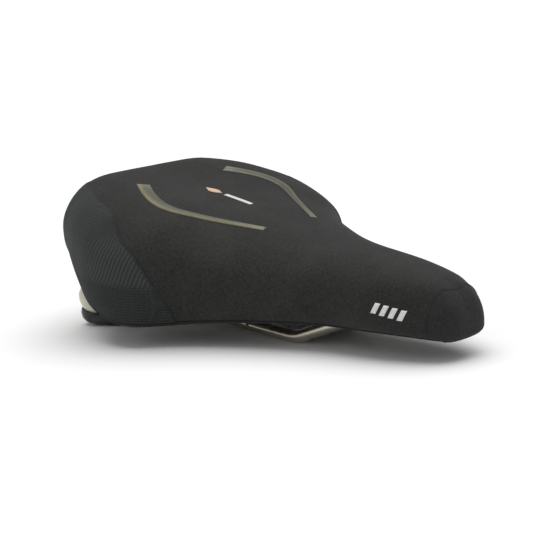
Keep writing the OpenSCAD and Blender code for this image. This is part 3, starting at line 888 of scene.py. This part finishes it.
for side, flip in SIDES:
    for i in range(4):
        x, z = 102 + 5 * i, 28 - 0.6 * i
        side_mark(
            f"side_mark_{side}_{i + 1}", [(x, z), (x + 3, z), (x + 5, z + 5.5), (x + 2, z + 5.5)],
            flip, [f"{side}_side_badge"] if i == 0 else [],
        )

# ---------------------------------------------------------------- rail
RAIL_R, RAIL_Y, CLAMP_HALF, BEND_R, CORNER_R = 3.5, 22.0, 34.0, 24.0, 7.0
FLARE, RISE, CLOSING = math.radians(18), math.radians(24.5), math.radians(9)
HINGE_X, HINGE_Z, BAR_HALF, REAR_RUN = 98.0, 21.5, 12.5, 53.0


def rail_knees():
    """Corners of half the rod's centreline, before it is bent, and the bend radius at each."""
    rear_dir = np.array([-math.cos(FLARE), math.sin(FLARE), 0])
    front_dir = np.array([
        math.cos(RISE) * math.cos(CLOSING), -math.cos(RISE) * math.sin(CLOSING), math.sin(RISE)
    ])
    turn = math.acos(math.cos(RISE) * math.cos(CLOSING))
    rear = np.array([-CLAMP_HALF - BEND_R * math.tan(FLARE / 2), RAIL_Y, 0])
    front = np.array([CLAMP_HALF + BEND_R * math.tan(turn / 2), RAIL_Y, 0])
    nose = front + front_dir * HINGE_Z / math.sin(RISE)
    corner = np.array([HINGE_X, BAR_HALF, HINGE_Z])
    knees = [rear + rear_dir * REAR_RUN, rear, front, nose, corner]
    return knees, [0, BEND_R, BEND_R, BEND_R, CORNER_R]


def filleted(points, radii):
    """Points along a path with an arc at each corner."""
    path = [points[0]]
    for i in range(1, len(points) - 1):
        before = points[i] - points[i - 1]
        after = points[i + 1] - points[i]
        before, after = before / np.linalg.norm(before), after / np.linalg.norm(after)
        angle = math.acos(float(np.clip(before @ after, -1, 1)))
        trim = radii[i] * math.tan(angle / 2)
        out = -(after - before * (before @ after))
        out = out / np.linalg.norm(out)
        centre = points[i] - before * trim - out * radii[i]
        start = path[-1]
        end = points[i] - before * trim
        for k in range(1, 12):
            path.append(start + (end - start) * k / 12)
        steps = 14
        for k in range(steps + 1):
            a = angle * k / steps
            path.append(centre + radii[i] * (out * math.cos(a) + before * math.sin(a)))
    start, end = path[-1], points[-1]
    path += [start + (end - start) * k / 12 for k in range(1, 13)]
    return path


KNEES, RADII = rail_knees()
mirror = np.array([1, -1, 1])
rod_points = KNEES + [k * mirror for k in reversed(KNEES)]
rod_path = filleted(rod_points, RADII + list(reversed(RADII)))
rod = tube("rail_rod", spaced(rod_path, 0.02), RAIL_R, 40)
finish_piece(rod, "rail_frame", "rail", RAIL, "rail")


TICK_STEP, TICK_WIDE = 2.5, 0.3


def rod_mark(name, x0, x1, a0, a1, flip, material, taper=0.0):
    """Printed patch on the rod's clamp stretch, from x0 to x1 and angle a0 to a1 in degrees."""
    front, back = [], []
    for r in range(7):
        f_line, b_line = [], []
        for c in range(7):
            share = c / 6
            mid, half = (a0 + a1) / 2, (a1 - a0) / 2 * (1 - taper * share)
            a = math.radians(mid + half * (2 * r / 6 - 1))
            x = x0 + (x1 - x0) * share
            for line, radius in ((f_line, RAIL_R + 0.05), (b_line, RAIL_R - 0.15)):
                y = flip * (RAIL_Y + radius * math.cos(a))
                line.append(np.array([x, y, radius * math.sin(a)]))
        front.append(f_line)
        back.append(b_line)
    mark = sheet(name, front, back)
    finish_piece(mark, "rail_frame", "rail", material)


for side, flip in SIDES:
    rod_mark(f"rail_pointer_{side}", 4.5, 1.2, -8, 46, flip, MARK_BLACK, 0.95)
    for place, start, count in (("rear", -20, 9), ("front", 21, 5)):
        for i in range(count):
            x = start + TICK_STEP * i
            top = 26 if i % 4 else 36
            name = f"rail_tick_{place}_{side}_{i + 1}"
            rod_mark(name, x, x + TICK_WIDE, 10, top, flip, MARK_BLACK)

# ------------------------------------------------------------ elastomers, yoke, hinge and clip
PUCK_FOOT, PUCK_LEAN = np.array([-101.5, 48.5, -7.5]), np.array([2.9, -3.9, 31])
PUCK_H, FOOT_R, WAIST_R, PUCK_R = 31.0, 7.0, 8.0, 11.5


def bulge(low, high, r_low, r_mid, r_high, steps=22):
    points = []
    for i in range(steps + 1):
        r = r_low + (r_high - r_low) * i / steps
        out = (r_mid - r) * math.sin(math.pi * i / steps)
        points.append((r + out, low + (high - low) * i / steps))
    return points


def puck_profile():
    lower = bulge(0, PUCK_H * 0.58, FOOT_R, PUCK_R, WAIST_R)
    upper = bulge(PUCK_H * 0.6, PUCK_H, WAIST_R, PUCK_R - 1.5, WAIST_R)
    profile = [(0.01, 0.0), (WAIST_R * 0.6, 0.0)] + lower + upper
    profile += [(WAIST_R * 0.6, PUCK_H), (0.01, PUCK_H)]
    # a fine moulding line round the middle of each bulge
    lined = []
    for r, h in profile:
        near = min(abs(h - PUCK_H * 0.29), abs(h - PUCK_H * 0.8))
        lined.append((r + (0.12 if near < 0.5 else 0), h))
    return lined


for side, flip in SIDES:
    turn = np.array([1, flip, 1])
    puck = turned(
        f"elastomer_{side}_spring", puck_profile(), PUCK_FOOT * turn, PUCK_LEAN * turn, 56
    )
    finish_piece(puck, "rail_frame", "elastomer", ELASTOMER, f"{side}_elastomer")
    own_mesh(puck)

for node, name, width, slot in (
    ("rear_yoke", "yoke_moulding", 0.8, "yoke"),
    ("nose_cradle", "hinge_cradle", 0.7, "hinge_plastic"),
    ("nose_cap", "hinge_cap", 0.7, "hinge_plastic"),
    ("accessory_clip", "bag_clip", 0.6, "hinge_plastic"),
):
    piece = bevelled(name, node, width)
    body = "rail_frame" if node == "rear_yoke" else "seat"
    finish_piece(piece, body, slot, BLACK, node)

for node, name, body in (
    ("elastomer_screws", "spring_screws", "rail_frame"),
    ("nose_screws", "hinge_screws", "seat"),
    ("clip_screws", "bag_clip_screws", "seat"),
):
    piece = bevelled(name, node, 0.25, 2)
    finish_piece(piece, body, "screws", STEEL, node)
finish_piece(bevelled("hem_staples", "staples", 0.18, 2), "seat", "staples", STEEL, "staples")

# ---------------------------------------------------------------- base shell
BOSS_BASE_R, BOSS_STRAIGHT, BOSS_TAPER = 8.5, 10.0, 4.8


def shell_rings():
    n = 240
    ws = np.linspace(1, 0, 26)
    rings = [under_ring(w, SHELL_OUT, GAP, n) for w in ws]
    outer, inner = under_ring(0, SHELL_OUT, GAP, n), under_ring(0, SHELL_IN, GAP + SHELL_T, n)
    rings.append([(a + b) / 2 - (0, 0, 0.5) for a, b in zip(outer, inner)])
    rings += [under_ring(w, SHELL_IN, GAP + SHELL_T, n) for w in reversed(ws)]
    return rings


shell = loft("shell_moulding", shell_rings())
finish_piece(shell, "seat", "shell", SHELL, "base_shell")


def rib_path(us, drop):
    """Points on the shell's inside, at places (u, w)."""
    return [under(u, w, SHELL_IN, drop) for u, w in us]


def rib(name, places, height, thick=1.6):
    """Upright moulded rib on the shell's inside, deepest in its middle."""
    top = rib_path(places, GAP + SHELL_T - 0.8)
    n = len(top)
    front, back = [], []
    for row in (0, 1, 2):
        f_line, b_line = [], []
        for i, p in enumerate(top):
            a, b = top[max(i - 1, 0)], top[min(i + 1, n - 1)]
            d = (b - a) / np.linalg.norm(b - a)
            across = np.cross(d, [0, 0, 1.0])
            across = across / np.linalg.norm(across)
            deep = (0.8 + height * math.sin(math.pi * i / (n - 1)) ** 0.5) * row / 2
            half = thick / 2 * (1 - 0.25 * row / 2)
            f_line.append(p + across * half - (0, 0, deep))
            b_line.append(p - across * half - (0, 0, deep))
        front.append(f_line)
        back.append(b_line)
    piece = sheet(name, front, back)
    finish_piece(piece, "seat", "shell", SHELL)


for i, u in enumerate((0.13, 0.27, 0.42, 0.55)):
    half_way = [(u, w) for w in np.linspace(0.3, 0.93, 14)]
    rib(f"shell_rib_left_{i + 1}", half_way, 2.2)
    rib(f"shell_rib_right_{i + 1}", [(2 - a, b) for a, b in half_way], 2.2)

for side, flip in SIDES:
    turn = np.array([1, flip, 1])
    lean = PUCK_LEAN / np.linalg.norm(PUCK_LEAN)
    base = (PUCK_FOOT + lean * (PUCK_H + 0.05)) * turn
    boss = turned(
        f"shell_boss_{side}",
        [(0.01, 0), (BOSS_BASE_R - 0.5, 0), (BOSS_BASE_R, 0.5), (BOSS_BASE_R, BOSS_STRAIGHT),
         (3.0, BOSS_STRAIGHT + BOSS_TAPER), (0.01, BOSS_STRAIGHT + BOSS_TAPER)],
        base, PUCK_LEAN * turn, 40,
    )
    finish_piece(boss, "seat", "shell", SHELL)

for name, x, y, z, h in (
    ("front", 105.5, 0, 28.0, 4.9), ("middle", 90.5, 0, 28.0, 4.9),
    ("clip_left", -94, 14, 35.0, 6.0), ("clip_right", -94, -14, 35.0, 6.0),
):
    boss = turned(f"shell_boss_{name}", [(0.01, 0), (3.3, 0), (3.6, 0.3), (3.6, h), (0.01, h)],
                  (x, y, z), (0, 0, 1), 28)
    finish_piece(boss, "seat", "shell", SHELL)

# ---------------------------------------------------------------- floor, light and camera
# The saddle stands on the yoke's underside and on the lowest point of the rail.
rest_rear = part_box("rear_yoke")[0]
REAR_REST = np.array([PUCK_FOOT[0], 0, rest_rear.z / MM])
FRONT_REST = np.array([CLAMP_HALF, 0, -RAIL_R])


def make_floor():
    slope = math.atan2(FRONT_REST[2] - REAR_REST[2], FRONT_REST[0] - REAR_REST[0])
    bpy.ops.mesh.primitive_plane_add(size=8)
    floor = bpy.context.object
    floor.name = "floor"
    floor.rotation_euler = (0, -slope, 0)
    floor.location = Vector(REAR_REST) * MM - Vector((0, 0, 0.0002))
    m = Maker("floor_paper", (0.93, 0.93, 0.93), 0.85)
    m.shader.inputs["Specular IOR Level"].default_value = 0.1
    m.bump(m.noise(300, 2), 0.00002, 0.3)
    floor.data.materials.append(m.mat)


make_floor()


def area_light(name, where, aim_at, size, power):
    data = bpy.data.lights.new(name, "AREA")
    data.shape = "RECTANGLE"
    data.size, data.size_y = size
    data.energy = power
    obj = bpy.data.objects.new(name, data)
    bpy.context.scene.collection.objects.link(obj)
    obj.location = where
    direction = Vector(aim_at) - Vector(where)
    obj.rotation_euler = direction.to_track_quat("-Z", "Y").to_euler()


area_light("front_left", (-0.9, -1.1, 0.7), (0, 0, 0.03), (0.7, 0.7), 1.2)


def broad_light(name, tilt_back, turn, strength, spread):
    """A very large soft box, far away: it lights the whole floor evenly."""
    data = bpy.data.lights.new(name, "SUN")
    data.energy = strength
    data.angle = math.radians(spread)
    obj = bpy.data.objects.new(name, data)
    bpy.context.scene.collection.objects.link(obj)
    obj.rotation_euler = (math.radians(tilt_back), 0, math.radians(turn))


broad_light("overhead", -16, 40, 2.3, 75)

world = bpy.data.worlds.new("studio")
bpy.context.scene.world = world
world.use_nodes = True
links, wnodes = world.node_tree.links, world.node_tree.nodes
path = wnodes.new("ShaderNodeLightPath")
shade = wnodes.new("ShaderNodeMapRange")
shade.inputs["To Min"].default_value = 0.42
shade.inputs["To Max"].default_value = 1.05
links.new(path.outputs["Is Camera Ray"], shade.inputs["Value"])
wnodes["Background"].inputs["Color"].default_value = (1, 1, 1, 1)
links.new(shade.outputs[0], wnodes["Background"].inputs["Strength"])
bpy.context.scene.view_settings.view_transform = "Standard"
bpy.context.scene.view_settings.look = "None"

AZIMUTH, ELEVATION, ROLL = math.radians(46.017), math.radians(14.15), math.radians(0.527)
TARGET, DISTANCE = np.array([4.0, 0.0, 37.8]), 1075.4
FOCAL_PX, IMAGE_PX, CENTRE_PX = 1919.6, 535.0, (280.219, 251.758)


def make_camera():
    back = np.array([
        math.sin(AZIMUTH) * math.cos(ELEVATION), -math.cos(AZIMUTH) * math.cos(ELEVATION),
        math.sin(ELEVATION),
    ])
    right = np.array([math.cos(AZIMUTH), math.sin(AZIMUTH), 0])
    up = np.cross(back, right)
    x = right * math.cos(ROLL) - up * math.sin(ROLL)
    y = right * math.sin(ROLL) + up * math.cos(ROLL)
    data = bpy.data.cameras.new("camera")
    camera = bpy.data.objects.new("camera", data)
    bpy.context.scene.collection.objects.link(camera)
    place = (TARGET + back * DISTANCE) * MM
    camera.matrix_world = Matrix((
        (x[0], y[0], back[0], place[0]), (x[1], y[1], back[1], place[1]),
        (x[2], y[2], back[2], place[2]), (0, 0, 0, 1),
    ))
    data.sensor_width = 36
    data.lens = FOCAL_PX / IMAGE_PX * 36
    data.shift_x = -(CENTRE_PX[0] - IMAGE_PX / 2) / IMAGE_PX
    data.shift_y = (CENTRE_PX[1] - IMAGE_PX / 2) / IMAGE_PX
    data.clip_end = 30
    bpy.context.scene.camera = camera


make_camera()
